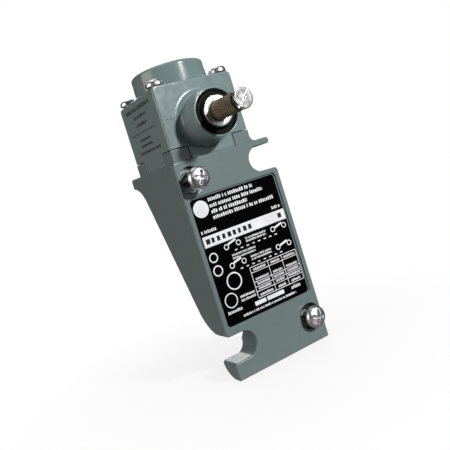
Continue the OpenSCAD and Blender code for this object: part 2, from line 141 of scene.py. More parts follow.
PLUNGER_HOLE_R = 4.4
GUIDE_HOLE_R, GUIDE_HOLE_Z = 5.4, 74.0
GROOVE_R, GROOVE_HALF_W, GROOVE_T = 8.5, 1.1, 0.8

# head casting
HEAD_X0, HEAD_X1 = HEAD_LOW[0], HEAD_HIGH[0]
HEAD_Y0, HEAD_Y1 = 0.5, HEAD_HIGH[1]
HEAD_CX, HEAD_CY = (HEAD_X0 + HEAD_X1) / 2, (HEAD_Y0 + HEAD_Y1) / 2
HEAD_TOP = 108.4
HEAD_WALL = 3.5
HEAD_SIDE_R, HEAD_FRONT_R, HEAD_CORNER_R = 2.2, 0.7, 0.9
DOME_TOP = HEAD_HIGH[2]
DOME_R = 14.3
DOME_WALL, DOME_ROOF = 3.0, 1.2
DOME_EDGE_R, DOME_FOOT_R = 1.5, 0.4
BOSS_Y = HEAD_LOW[1]
BOSS_R = 8.95
BOSS_EDGE_R, BOSS_FLARE_R = 0.35, 2.4
SHAFT_Z = (BUSH_LOW[2] + BUSH_HIGH[2]) / 2
SHAFT_R = 3.57
SEAL_R, SEAL_SEAT_L = (SEAL_HIGH[0] - SEAL_LOW[0]) / 2, 2.2
BUSH_R = (BUSH_HIGH[0] - BUSH_LOW[0]) / 2
PARTING_Z = 95.5
GAP = 0.22
REAR_LEFT_GAP = 0.3
CAM_ROOM_HALF_W = 10.0
DETENT_Y = 24.3
DETENT_DISC_R = 7.5
DETENT_GUIDE_R, DETENT_BORE_R, DETENT_BORE_L = 4.2, 2.7, 13.0
BEARING_WALL_R, BEARING_BORE_R = 5.6, 3.8
HEAD_SCREW_INSET = 3.3
HEAD_SCREW_HOLE_R = 1.9
PAST = 2.0  # how far a cut runs past the face that it opens


def back_depth(z):
    """Depth of the slanted joint face at a height."""
    return FOOT_DEPTH + z * math.tan(LEAN)


# ---- distance fields ----

def round_max(a, b, r):
    """Where two solids overlap, with the edge between their faces rounded to radius r."""
    return np.minimum(np.maximum(a, b), -r) + np.hypot(np.maximum(a + r, 0), np.maximum(b + r, 0))


def round_min(a, b, r):
    """Two solids together, with a fillet of radius r between them."""
    return -round_max(-a, -b, r)


def between(p, low, high):
    """The slab from low to high along one axis."""
    return np.maximum(low - p, p - high)


def rectangle(u, v, low, high, r):
    """A rectangle with corners of radius r, without an end along the third axis."""
    return round_max(between(u, low[0], high[0]), between(v, low[1], high[1]), r)


def block(x, y, z, low, high, r):
    """A block with all its edges rounded to radius r."""
    front = rectangle(x, z, (low[0], low[2]), (high[0], high[2]), r)
    return round_max(front, between(y, low[1], high[1]), r)


def rod(u, v, w, centre, radius, low, high, r=0.0):
    """A cylinder of that radius about a line in the direction of w, from low to high."""
    return round_max(np.hypot(u - centre[0], v - centre[1]) - radius, between(w, low, high), r)


# ---- meshing ----

def grid_lines(low, high, spans, coarse=0.8, growth=0.25):
    """Places of grid lines: a span is (start, end, step), and the steps grow between the spans."""
    lines = [low]
    while lines[-1] < high:
        at = lines[-1]
        step = min([coarse] + [s + growth * max(a - at, at - b, 0) for a, b, s in spans])
        lines.append(at + step)
    return np.array(lines)


def around(places, step, reach=0.1):
    """A span of fine steps about each of these places."""
    return [(at - reach, at + reach, step) for at in places]


def surface_net(field, xs, ys, zs):
    """Points and four-cornered faces of the surface where the field is zero."""
    shape = (len(xs), len(ys), len(zs))
    values = np.broadcast_to(field(xs[:, None, None], ys[None, :, None], zs[None, None, :]), shape)
    axes = [xs, ys, zs]
    cells, crossings = [], []
    for axis in range(3):
        first = [slice(None)] * 3
        second = [slice(None)] * 3
        first[axis], second[axis] = slice(0, -1), slice(1, None)
        a, b = values[tuple(first)], values[tuple(second)]
        index = np.argwhere((a < 0) != (b < 0))
        fa, fb = a[tuple(index.T)], b[tuple(index.T)]
        share = fa / (fa - fb)
        points = np.stack([axes[k][index[:, k]] for k in range(3)], 1).astype(float)
        step = axes[axis][index[:, axis] + 1] - axes[axis][index[:, axis]]
        points[:, axis] += share * step
        u, v = (axis + 1) % 3, (axis + 2) % 3
        ring = [(0, 0), (-1, 0), (-1, -1), (0, -1)]
        corners = []
        for du, dv in ring:
            cell = index.copy()
            cell[:, u] += du
            cell[:, v] += dv
            corners.append((cell[:, 0] * shape[1] + cell[:, 1]) * shape[2] + cell[:, 2])
        corners = np.stack(corners, 1)
        flip = fa > 0
        corners[flip] = corners[flip][:, ::-1]
        cells.append(corners)
        crossings.append(np.repeat(points, 4, 0))
    cells = np.concatenate(cells)
    crossings = np.concatenate(crossings)
    _, faces = np.unique(cells.ravel(), return_inverse=True)
    count = np.bincount(faces)
    points = np.stack([np.bincount(faces, crossings[:, k]) / count for k in range(3)], 1)
    return points, faces.reshape(-1, 4)


def slope(field, points, reach=0.02):
    """How the field changes along x, y and z at each point."""
    parts = []
    for k in range(3):
        step = np.zeros(3)
        step[k] = reach
        parts.append(field(*(points + step).T) - field(*(points - step).T))
    return np.stack(parts, 1) / (2 * reach)


def pull_onto(field, points, rounds=4, farthest=0.3, least_slope=0.25):
    """Moves the points along the field's slope until they lie on its surface."""
    for _ in range(rounds):
        g = slope(field, points)
        move = field(*points.T)[:, None] * g / np.maximum((g * g).sum(1), least_slope)[:, None]
        points -= np.clip(move, -farthest, farthest)


def solid_piece(name, field, low, high, spans=((), (), ()), coarse=0.8, body="switch_body", node=None):
    """Meshes a distance field inside a box, and puts the piece on its body in place of a CAD node."""
    margin = 0.3
    lines = [grid_lines(low[k] - margin, high[k] + margin, spans[k], coarse) for k in range(3)]
    points, faces = surface_net(field, *lines)
    pull_onto(field, points)
    normals = slope(field, points)
    normals /= np.maximum(np.linalg.norm(normals, axis=1), 1e-6)[:, None]
    mesh = bpy.data.meshes.new(name)
    mesh.vertices.add(len(points))
    mesh.vertices.foreach_set("co", to_frame(points).astype(np.float32).ravel())
    mesh.loops.add(faces.size)
    mesh.loops.foreach_set("vertex_index", faces.astype(np.int32).ravel())
    mesh.polygons.add(len(faces))
    mesh.polygons.foreach_set("loop_start", np.arange(0, faces.size, 4, dtype=np.int32))
    mesh.update(calc_edges=True)
    mesh.shade_smooth()
    mesh.normals_split_custom_set_from_vertices(normals.tolist())
    piece = bpy.data.objects.new(name, mesh)
    bpy.context.scene.collection.objects.link(piece)
    return settle(piece, body, node)


def settle(piece, body, node=None):
    """Puts a piece on its body, and gives it the slot and the finish of the CAD node that it replaces."""
    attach(piece, body)
    if node:
        slot = SLOT_OF[node]
        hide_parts(node)
        piece.data.materials.clear()
        piece.data.materials.append(FINISH[slot])
    return piece


# ---- materials ----

def new_material(name, colour, roughness, metallic=0.0, **sockets):
    """A principled material. Further sockets are named with _ in place of a space."""
    material = bpy.data.materials.new(name)
    material.use_nodes = True
    shader = material.node_tree.nodes["Principled BSDF"]
    shader.inputs["Base Color"].default_value = (*colour, 1)
    shader.inputs["Roughness"].default_value = roughness
    shader.inputs["Metallic"].default_value = metallic
    for socket, value in sockets.items():
        shader.inputs[socket.replace("_", " ")].default_value = value
    return material


def node_of(material, kind, **settings):
    """A new shader node: each setting is a property or, if there is none of that name, an input."""
    node = material.node_tree.nodes.new(kind)
    for key, value in settings.items():
        if hasattr(node, key):
            setattr(node, key, value)
        else:
            node.inputs[key.replace("_", " ")].default_value = value
    return node


def noise_of(material, scale, detail):
    """Noise over the object's own coordinates, in which 1 is a metre."""
    coordinates = node_of(material, "ShaderNodeTexCoord")
    noise = node_of(material, "ShaderNodeTexNoise", Scale=scale, Detail=detail)
    material.node_tree.links.new(coordinates.outputs["Object"], noise.inputs["Vector"])
    return noise.outputs["Fac"]


def ramp_of(material, value, low, high, start=0.3, end=0.7):
    """Runs from low to high while the value goes from start to end."""
    ramp = node_of(material, "ShaderNodeMapRange", From_Min=start, From_Max=end, To_Min=low, To_Max=high)
    material.node_tree.links.new(value, ramp.inputs["Value"])
    return ramp.outputs["Result"]


def vary_colour(material, value, colours):
    """Base colour that runs from one colour to another over a noise."""
    mix = node_of(material, "ShaderNodeMix", data_type="RGBA")
    mix.inputs[6].default_value = (*colours[0], 1)
    mix.inputs[7].default_value = (*colours[1], 1)
    links = material.node_tree.links
    links.new(ramp_of(material, value, 0, 1), mix.inputs[0])
    links.new(mix.outputs[2], material.node_tree.nodes["Principled BSDF"].inputs["Base Color"])


def vary_roughness(material, value, low, high):
    """Roughness that runs from low to high over a noise."""
    shader = material.node_tree.nodes["Principled BSDF"]
    material.node_tree.links.new(ramp_of(material, value, low, high), shader.inputs["Roughness"])


def add_bump(material, value, depth):
    """Bump of that depth in millimetres."""
    bump = node_of(material, "ShaderNodeBump", Strength=1.0, Distance=depth * MM)
    shader = material.node_tree.nodes["Principled BSDF"]
    material.node_tree.links.new(value, bump.inputs["Height"])
    material.node_tree.links.new(bump.outputs["Normal"], shader.inputs["Normal"])


def shade(colour, factor):
    """The colour, lighter or darker by a factor."""
    return tuple(c * factor for c in colour)


def enamel(name, colour):
    """Semi-gloss enamel: faint orange peel, and a fine grain in its colour and gloss."""
    material = new_material(name, colour, 0.3, Specular_IOR_Level=0.5)
    vary_colour(material, noise_of(material, 700, 5), (shade(colour, 0.97), shade(colour, 1.03)))
    vary_roughness(material, noise_of(material, 400, 5), 0.15, 0.23)
    add_bump(material, noise_of(material, 700, 2), 0.008)
    return material


def metal(name, colour, roughness, spread=0.08, bump=0.004, scale=900):
    """Bare or plated metal: colour in soft patches, gloss and bump in a fine grain."""
    material = new_material(name, colour, roughness, 1.0)
    fine = noise_of(material, scale, 4)
    vary_colour(material, noise_of(material, 250, 4), (shade(colour, 0.86), shade(colour, 1.05)))
    vary_roughness(material, fine, roughness - spread, roughness + spread)
    add_bump(material, fine, bump)
    return material


def rubber(name, colour, roughness=0.55):
    """Matt rubber with a fine, uneven skin."""
    material = new_material(name, colour, roughness, Specular_IOR_Level=0.08)
    vary_colour(material, noise_of(material, 400, 4), (shade(colour, 0.7), shade(colour, 1.6)))
    vary_roughness(material, noise_of(material, 700, 3), roughness - 0.1, roughness + 0.12)
    add_bump(material, noise_of(material, 2500, 3), 0.012)
    return material


def plastic(name, colour, roughness, bump=0.008, specular=0.5):
    """Moulded plastic, or a printed or anodised surface with a small bump."""
    material = new_material(name, colour, roughness, Specular_IOR_Level=specular)
    vary_colour(material, noise_of(material, 120, 5), (shade(colour, 0.88), shade(colour, 1.08)))
    vary_roughness(material, noise_of(material, 500, 4), roughness - 0.06, roughness + 0.08)
    add_bump(material, noise_of(material, 1800, 3), bump)
    return material


FINISH = {
    "housing_enamel": enamel("housing_enamel_paint", (0.168, 0.222, 0.222)),
    "head_enamel": enamel("head_enamel_paint", (0.196, 0.27, 0.272)),
    "nameplate_black": plastic("nameplate_black_ink", (0.0012, 0.0012, 0.0015), 0.3, 0.002, 0.02),
    "seal_rubber": rubber("seal_nitrile", (0.004, 0.005, 0.004)),
    "gasket_rubber": rubber("gasket_nitrile", (0.014, 0.014, 0.014), 0.65),
    "zinc_steel": metal("zinc_plate", (0.8, 0.81, 0.84), 0.36, 0.1),
    "shaft_steel": metal("oiled_shaft", (0.2, 0.17, 0.115), 0.4, 0.14),
    "bush_steel": metal("turned_bush", (0.74, 0.75, 0.74), 0.3, 0.08, bump=0.02, scale=600),
    "bearing_bronze": metal("sintered_bronze", (0.5, 0.33, 0.15), 0.45),
    "mechanism_steel": metal("hardened_steel", (0.4, 0.41, 0.43), 0.33),
    "spring_steel": metal("spring_wire", (0.46, 0.46, 0.48), 0.28),
    "block_phenolic": plastic("black_phenolic", (0.016, 0.016, 0.018), 0.42),
    "cover_plastic": plastic("dull_red_cover", (0.3, 0.025, 0.016), 0.45),
    "carrier_plastic": plastic("natural_nylon", (0.62, 0.59, 0.5), 0.5),
    "contact_brass": metal("contact_brass_strip", (0.75, 0.5, 0.19), 0.3),
    "ground_green": enamel("green_passivate", (0.03, 0.2, 0.07)),
    "retainer_nylon": plastic("white_nylon", (0.7, 0.7, 0.66), 0.5),
}
PRINT_WHITE = plastic("print_white", (0.93, 0.94, 0.96), 0.45, 0.002, 0.3)
PRINT_BLACK = plastic("print_black", (0.012, 0.012, 0.014), 0.45, 0.002, 0.2)
TIP_METAL = metal("bright_shaft_tip", (0.52, 0.52, 0.5), 0.24, 0.08, bump=0.02, scale=700)
# dark metal for the spring washers: painted shade of the counterbores that they sit in
WASHER_PAINTED_SHADE = metal("spring_washer_painted_shade", (0.2, 0.21, 0.22), 0.34)
# darker enamel for the cast rows on the head's side: painted shade, standing in for the shadow in cast
# letters
CAST_ROWS_PAINTED_SHADE = enamel("cast_rows_painted_shade_enamel", (0.11, 0.125, 0.12))

for node, piece in frame["nodes"].items():
    piece.data.materials.clear()
    piece.data.materials.append(FINISH[SLOT_OF[node]])


# ---- body casting ----

HOLLOW_TOUCH = (back_depth(HOLLOW_Z), HOLLOW_Z)
HOLLOW_CENTRE = (
    HOLLOW_TOUCH[0] + HOLLOW_R * math.cos(LEAN),
    HOLLOW_TOUCH[1] - HOLLOW_R * math.sin(LEAN),
)
POST_CORNERS = [
    (x, y) for x in (HEAD_X0, HEAD_X1 - POST_SIDE) for y in (HEAD_Y0, HEAD_Y1 - POST_SIDE)
]


def behind_joint(y, z):
    """Distance behind the slanted joint face."""
    return (y - back_depth(z)) * math.cos(LEAN)


def body_side(x, y, z):
    """The wedge with the ledge and its hollow underside, scooped out behind the lower slot."""
    hollow = HOLLOW_R - np.hypot(y - HOLLOW_CENTRE[0], z - HOLLOW_CENTRE[1])
    below = (HOLLOW_TOUCH[0] - y) * math.sin(LEAN) + (HOLLOW_TOUCH[1] - z) * math.cos(LEAN)
    ledge = round_max(np.maximum(hollow, below), y - LEDGE_DEPTH, EDGE_R)
    rear = np.minimum(behind_joint(y, z), ledge)
    lower_slot = slot_2d(x, z, LOWER_SLOT, 1)
    above_slot = np.clip((z - LOWER_SLOT[1] + 1) / 4, 0, 1)
    scoop = EDGE_R + (SCOOP_R - EDGE_R) * above_slot
    rear = round_max(rear, -lower_slot - EDGE_R, scoop)
    return round_max(rear, -z, FOOT_R)


def slot_2d(x, z, centre, open_to):
    """An open slot with a round end: open_to is 1 for the left side and -1 for the right."""
    return np.hypot(np.maximum((x - centre[0]) * open_to, 0), z - centre[1]) - SLOT_R


def body_field(x, y, z):
    outline = round_max(between(x, 0, WIDTH), z - LEDGE_Z, CORNER_R)
    outline = round_max(outline, -slot_2d(x, z, LOWER_SLOT, 1), CORNER_R)
    outline = round_max(outline, -slot_2d(x, z, UPPER_SLOT, -1), CORNER_R)
    solid = round_max(outline, np.maximum(body_side(x, y, z), -z), EDGE_R)
    solid = round_max(solid, -y, EDGE_R)
    for px, py in POST_CORNERS:
        post_high = (px + POST_SIDE, py + POST_SIDE, POST_TOP)
        solid = np.minimum(solid, block(x, y, z, (px, py, LEDGE_Z - PAST), post_high, 0.3))
        if px > HEAD_CX:
            solid = np.minimum(solid, post_fillet(x, y, z, px + POST_SIDE, py))
    return carve_room(carve_front(solid, x, y, z), x, y, z)


def post_fillet(x, y, z, edge, py):
    """The hollow fillet between a right-hand post and the ledge."""
    r = POST_FILLET_R
    hollow = r - np.hypot(x - edge - r, z - LEDGE_Z - r)
    inside = np.maximum(between(x, edge - 0.3, edge + r), between(z, LEDGE_Z - 0.5, LEDGE_Z + r))
    return np.maximum(np.maximum(hollow, inside), between(y, py + 0.1, py + POST_SIDE - 0.1))


def carve_front(solid, x, y, z):
    """The nameplate's recess and the captive screws' counterbores."""
    low = (PLATE_LOW[0] - PLATE_GAP, PLATE_LOW[2] - PLATE_GAP)
    high = (PLATE_HIGH[0] + PLATE_GAP_RIGHT, PLATE_HIGH[2] + PLATE_GAP)
    recess = np.maximum(rectangle(x, z, low, high, 1.6), y - PLATE_HIGH[1])
    solid = round_max(solid, -recess, 0.12)
    for cx, cz in (UPPER_SCREW, LOWER_SCREW):
        radius = np.hypot(x - cx, z - cz)
        bore = np.maximum(radius - COUNTERBORE_R, y - COUNTERBORE_Y)
        solid = round_max(solid, -bore, 0.2)
        solid = np.maximum(solid, SCREW_HOLE_R - radius)
    return solid


def carve_room(solid, x, y, z):
    """The contact block's room, its gasket's step, the bores up to the head and the head gasket's groove."""
    room = np.maximum(rectangle(x, z, ROOM_LOW, ROOM_HIGH, ROOM_CORNER_R), FRONT_WALL - y)
    for ear_z in EAR_Z:
        ear = rod(x, z, y, (EAR_X, ear_z), EAR_R, FRONT_WALL - 1, FRONT_WALL + EAR_L)
        room = np.maximum(room, -ear)
    solid = np.maximum(solid, -room)
    low = (ROOM_LOW[0] - GASKET_W, ROOM_LOW[1] - GASKET_W)
    high = (ROOM_HIGH[0] + GASKET_W, ROOM_HIGH[1] + GASKET_W)
    step = np.maximum(rectangle(x, z, low, high, ROOM_CORNER_R + 1), -behind_joint(y, z) - GASKET_T)
    solid = round_max(solid, -step, 0.2)
    radius = np.hypot(x - HEAD_CX, y - HEAD_CY)
    solid = np.maximum(solid, -np.maximum(radius - PLUNGER_HOLE_R, ROOM_HIGH[1] - 1 - z))
    solid = np.maximum(solid, -np.maximum(radius - GUIDE_HOLE_R, GUIDE_HOLE_Z - z))
    groove = np.maximum(np.abs(radius - GROOVE_R) - GROOVE_HALF_W, LEDGE_Z - GROOVE_T - z)
    return np.maximum(solid, -groove)


INNER_X = (HEAD_X0 + POST_SIDE, HEAD_X1 - POST_SIDE)
INNER_Y = (HEAD_Y0 + POST_SIDE, HEAD_Y1 - POST_SIDE)
RIM = 0.9  # width of the band of finest steps along an outer edge
body_spans = (
    [(-0.1, RIM, 0.14), (RIM, LOWER_SLOT[0] + 5.2, 0.34), (UPPER_SLOT[0] - 5.2, WIDTH - 1, 0.34),
     (WIDTH - 1, WIDTH + 0.1, 0.14), (PLATE_LOW[0] - 0.6, PLATE_LOW[0], 0.2),
     (HEAD_X1 - 0.1, HEAD_X1 + POST_FILLET_R + 0.1, 0.2)]
    + around(INNER_X, 0.15),
    [(-0.1, RIM, 0.13), (COUNTERBORE_Y - 0.2, COUNTERBORE_Y + 0.2, 0.2), (0, 10, 0.5),
     (LEDGE_DEPTH - 9, LEDGE_DEPTH, 0.5), (LEDGE_DEPTH - 1, LEDGE_DEPTH + 0.1, 0.25)]
    + around((*INNER_Y, HEAD_Y1), 0.2),
    [(-0.1, RIM, 0.14), (RIM, LOWER_SLOT[1] + 5.3, 0.34), (PLATE_LOW[2] - 0.7, PLATE_LOW[2], 0.2),
     (PLATE_HIGH[2] + 0.3, PLATE_HIGH[2] + 0.9, 0.2), (UPPER_SLOT[1] - 5.5, UPPER_SLOT[1] + 5.5, 0.34),
     (LEDGE_Z - 1, POST_TOP + 0.2, 0.2)],
)
solid_piece("body_casting", body_field, BODY_LOW, BODY_HIGH, body_spans, 1.0, node="body_housing")


# ---- operating head casting ----

def head_field(x, y, z):
    across = round_max(between(x, HEAD_X0, HEAD_X1), z - HEAD_TOP, HEAD_SIDE_R)
    along = round_max(between(y, HEAD_Y0, HEAD_Y1), z - HEAD_TOP, HEAD_FRONT_R)
    solid = round_max(across, along, HEAD_CORNER_R)
    dome = round_max(np.hypot(x - HEAD_CX, y - HEAD_CY) - DOME_R, z - DOME_TOP, DOME_EDGE_R)
    solid = round_min(solid, dome, DOME_FOOT_R)
    from_axis = np.hypot(x - HEAD_CX, z - SHAFT_Z)
    boss = np.maximum(round_max(from_axis - BOSS_R, BOSS_Y - y, BOSS_EDGE_R), y - HEAD_CY)
    solid = round_min(solid, boss, BOSS_FLARE_R)
    solid = round_max(solid, LEDGE_Z - z, 0.05)
    for px, py in POST_CORNERS:
        solid = round_max(solid, -block(x, y, z, *post_notch(px, py), 0.2), 0.2)
    solid = np.maximum(solid, -parting_groove(x, y, z))
    seat = np.maximum(from_axis - SEAL_R - 0.02, y - BOSS_Y - SEAL_SEAT_L)
    solid = round_max(solid, -seat, 0.12)
    solid = np.maximum(solid, -np.maximum(from_axis - BUSH_R, y - HEAD_CY))
    return np.maximum(solid, -head_room(x, y, z, from_axis))


def post_notch(px, py):
    """Lowest and highest corner of the notch for a post, open past two sides of the head."""
    left, rear = px < HEAD_CX, py > HEAD_CY
    front_gap = GAP + REAR_LEFT_GAP * (left and rear)
    low = (px - GAP - PAST * left, py - front_gap - PAST * (not rear), LEDGE_Z - PAST)
    high_x = px + POST_SIDE + GAP + PAST * (not left)
    high_y = py + POST_SIDE + GAP + PAST * rear
    return low, (high_x, high_y, POST_TOP + GAP)


def parting_groove(x, y, z):
    """The fine joint round the head: deep on the sides and faint on the front and back."""
    level = np.abs(z - PARTING_Z)
    edge = np.minimum(np.abs(x - HEAD_X0), np.abs(x - HEAD_X1)) - 0.45
    sides = np.maximum(between(y, HEAD_Y0 + 4.9, HEAD_Y1 - 5), edge)
    sides = np.maximum(sides, level - 0.16)
    ends = np.maximum(np.minimum(np.abs(y - HEAD_Y0), np.abs(y - HEAD_Y1)) - 0.09, level - 0.07)
    return np.minimum(sides, ends)


def head_room(x, y, z, from_axis):
    """The room of the cam and the detent, the rear bearing and the screw holes."""
    cam_low = (HEAD_CX - CAM_ROOM_HALF_W, HEAD_Y0 + HEAD_WALL, LEDGE_Z - PAST)
    cam_high = (HEAD_CX + CAM_ROOM_HALF_W, HEAD_Y1 - HEAD_WALL, HEAD_TOP - HEAD_WALL)
    room = block(x, y, z, cam_low, cam_high, 0.5)
    radius = np.hypot(x - HEAD_CX, y - HEAD_CY)
    in_dome = between(z, HEAD_TOP - HEAD_WALL - 1, DOME_TOP - DOME_ROOF)
    room = np.minimum(room, np.maximum(radius - DOME_R + DOME_WALL, in_dome))
    detent_low = SHAFT_Z + DETENT_DISC_R
    detent_radius = np.hypot(x - HEAD_CX, y - DETENT_Y)
    room = np.maximum(room, -np.maximum(detent_radius - DETENT_GUIDE_R, detent_low + 2.6 - z))
    room = np.maximum(room, -np.maximum(from_axis - BEARING_WALL_R, HEAD_Y1 - 6.5 - y))
    detent_bore = between(z, detent_low, detent_low + DETENT_BORE_L)
    room = np.minimum(room, np.maximum(detent_radius - DETENT_BORE_R, detent_bore))
    bearing_bore = between(y, HEAD_Y1 - 7.5, HEAD_Y1 - 2.4)
    room = np.minimum(room, np.maximum(from_axis - BEARING_BORE_R, bearing_bore))
    for sx, sy in HEAD_SCREW_PLACES:
        room = np.minimum(room, np.hypot(x - sx, y - sy) - HEAD_SCREW_HOLE_R)
    return room


HEAD_SCREW_PLACES = [
    (x, y)
    for y in (HEAD_Y0 + HEAD_SCREW_INSET, HEAD_Y1 - HEAD_SCREW_INSET)
    for x in (HEAD_X0 + HEAD_SCREW_INSET, HEAD_X1 - HEAD_SCREW_INSET)
]
head_spans = (
    [(HEAD_X0 - 0.1, HEAD_X0 + 1.3, 0.15), (HEAD_X1 - 1.3, HEAD_X1 + 0.1, 0.15),
     (INNER_X[0], INNER_X[0] + 0.3, 0.15), (INNER_X[1] - 0.3, INNER_X[1], 0.15),
     (HEAD_CX - BOSS_R - 1, HEAD_CX + BOSS_R + 1, 0.36)],
    [(BOSS_Y - 0.3, BOSS_Y + 0.5, 0.12), (BOSS_Y + 0.5, BOSS_Y + 2.5, 0.3),
     (HEAD_Y0 - 2.7, HEAD_Y0 - 0.2, 0.3), (HEAD_Y0 - 0.2, HEAD_Y0 + 1.3, 0.13),
     (INNER_Y[0], INNER_Y[0] + 0.3, 0.15), (INNER_Y[1] - 0.3, INNER_Y[1], 0.15),
     (HEAD_Y1 - 1.3, HEAD_Y1 + 0.1, 0.15)],
    [(LEDGE_Z - 0.2, LEDGE_Z + 0.4, 0.15), (POST_TOP - 0.1, POST_TOP + 0.4, 0.15), (81, 105, 0.36),
     (PARTING_Z - 0.5, PARTING_Z + 0.5, 0.09), (HEAD_TOP - 1.1, HEAD_TOP + 0.6, 0.15),
     (DOME_TOP - 2.3, DOME_TOP - 0.5, 0.22)],
)
solid_piece("head_casting", head_field, HEAD_LOW, HEAD_HIGH, head_spans, 1.0, node="head_housing")


# ---- turned, flat and coiled pieces ----

def mesh_piece(name, points, faces, body, node=None, smooth=35):
    """A mesh with rounded shading up to an angle in degrees; none makes every face flat."""
    mesh = bpy.data.meshes.new(name)
    mesh.from_pydata(to_frame(points).tolist(), [], faces)
    shape = bmesh.new()
    shape.from_mesh(mesh)
    bmesh.ops.remove_doubles(shape, verts=shape.verts, dist=1e-7)
    bmesh.ops.recalc_face_normals(shape, faces=shape.faces)
    shape.to_mesh(mesh)
    shape.free()
    if smooth:
        mesh.shade_smooth()
        mesh.set_sharp_from_angle(angle=math.radians(smooth))
    piece = bpy.data.objects.new(name, mesh)
    bpy.context.scene.collection.objects.link(piece)
    return settle(piece, body, node)


def rounded(profile, radius):
    """The closed profile with its corners cut to short curves."""
    corners = np.array(profile, float)
    points = []
    for before, at, after in zip(np.roll(corners, 1, 0), corners, np.roll(corners, -1, 0)):
        start = at + (before - at) * min(radius / np.linalg.norm(before - at), 0.45)
        end = at + (after - at) * min(radius / np.linalg.norm(after - at), 0.45)
        for t in (0, 1 / 3, 2 / 3, 1):
            points.append((1 - t) ** 2 * start + 2 * t * (1 - t) * at + t * t * end)
    return np.array(points)


def tube_faces(rings, n, closed):
    """Faces between rings of n points: closed joins the last ring to the first, else the ends are capped."""
    faces = []
    for i in range(rings if closed else rings - 1):
        here, there = i * n, (i + 1) % rings * n
        faces += [(here + j, here + (j + 1) % n, there + (j + 1) % n, there + j) for j in range(n)]
    if not closed:
        faces += [tuple(range(n)), tuple(range((rings - 1) * n, rings * n))]
    return faces


def turned(name, profile, centre, body, node, bevel=0.15, arc=1.0, rise=0.0, segments=96):
    """Turns a closed profile of (radius, y) about a line along y. An open arc can rise like a thread."""
    ring = rounded(profile, bevel)
    count = segments if arc == 1 else segments + 1
    angles = np.arange(count) / segments * math.tau * arc
    points = []
    for number, angle in enumerate(angles):
        lift = rise * number / segments
        for r, along in ring:
            points.append((centre[0] + r * math.cos(angle), along + lift, centre[1] + r * math.sin(angle)))
    return mesh_piece(name, points, tube_faces(count, len(ring), arc == 1), body, node)


def coil(name, centre, mean_r, wire_r, low, high, turns, body, node):
    """A compression spring along z, with a closed coil at each end."""
    steps, sides = 40, 12
    t = np.arange(int(turns * steps) + 1) / steps
    closed = 2.02 * wire_r
    pitch = (high - low - 2 * wire_r - 2 * closed) / (turns - 2)
    z = low + wire_r + closed * np.minimum(t, 1) + pitch * np.clip(t - 1, 0, turns - 2)
    z += closed * np.clip(t - turns + 1, 0, 1)
    points = []
    for angle, level in zip(t * math.tau, z):
        for k in range(sides):
            bend = k / sides * math.tau
            r = mean_r + wire_r * math.cos(bend)
            x, y = centre[0] + r * math.cos(angle), centre[1] + r * math.sin(angle)
            points.append((x, y, level + wire_r * math.sin(bend)))
    return mesh_piece(name, points, tube_faces(len(t), sides, False), body, node)


def softened(node, width=0.12):
    """A copy of a CAD node with bevelled edges, in its place."""
    source = frame["nodes"][node]
    mesh = source.data.copy()
    shape = bmesh.new()
    shape.from_mesh(mesh)
    bmesh.ops.remove_doubles(shape, verts=shape.verts, dist=1e-6)
    bmesh.ops.dissolve_limit(shape, angle_limit=math.radians(1), verts=shape.verts, edges=shape.edges)
    shape.to_mesh(mesh)
    shape.free()
    piece = bpy.data.objects.new(node + "_edged", mesh)
    bpy.context.scene.collection.objects.link(piece)
    bevel = piece.modifiers.new("edges", "BEVEL")
    bevel.width = width * MM
    bevel.segments = 2
    bevel.limit_method = "ANGLE"
    bevel.angle_limit = math.radians(40)
    bpy.context.view_layer.update()
    bevelled = piece.evaluated_get(bpy.context.evaluated_depsgraph_get())
    finished = bpy.data.meshes.new_from_object(bevelled)
    piece.modifiers.clear()
    piece.data = finished
    finished.shade_smooth()
    finished.set_sharp_from_angle(angle=math.radians(35))
    return settle(piece, body_of(source)[0], node)


# ---- shaft, bush and seal ----

AXIS = (HEAD_CX, SHAFT_Z)
NECK_Y = SHAFT_LOW[1] + 1.6
NECK_L = 1.4
KNURL_Y = NECK_Y + NECK_L
KNURL_STARTS = 26
KNURL_DEPTH = 0.3
KNURL_ANGLE = math.radians(30)
JOURNAL_Y = BUSH_LOW[1] - 0.3
JOURNAL_R = SHAFT_R - 0.22
NECK_R = 2.8
RING_Y, RING_W = BUSH_HIGH[1] + 0.1, 0.8
REAR_Y, REAR_R = 26.6, 2.5
PIN_HOLE_R = 1.0
TIP_SLOT_W, TIP_SLOT_T = 0.8, 1.2
SLIP = 0.02


def shaft_field(x, y, z):
    """The shaft behind its tip: knurl, neck, journal, groove for the ring, rear end and the pin's hole."""
    radius = np.hypot(x - HEAD_CX, z - SHAFT_Z)
    angle = np.arctan2(x - HEAD_CX, z - SHAFT_Z)
    along = y * math.tan(KNURL_ANGLE) / SHAFT_R
    left_hand = np.abs(np.sin(KNURL_STARTS / 2 * (angle + along)))
    right_hand = np.abs(np.sin(KNURL_STARTS / 2 * (angle - along)))
    surface = SHAFT_R - KNURL_DEPTH * (1 - left_hand * right_hand)
    knurl = round_max(radius - surface, between(y, KNURL_Y, JOURNAL_Y), 0.25)
    solid = np.minimum(knurl, np.maximum(radius - NECK_R, between(y, NECK_Y, KNURL_Y + 1)))
    solid = np.minimum(solid, round_max(radius - JOURNAL_R, between(y, JOURNAL_Y - 1, REAR_Y), 0.2))
    solid = np.maximum(solid, -np.maximum(NECK_R - radius, between(y, RING_Y, RING_Y + RING_W)))
    solid = np.minimum(solid, round_max(radius - REAR_R, between(y, REAR_Y - 1, SHAFT_HIGH[1]), 0.3))
    return np.maximum(solid, PIN_HOLE_R - np.hypot(x - HEAD_CX, y - HEAD_CY))


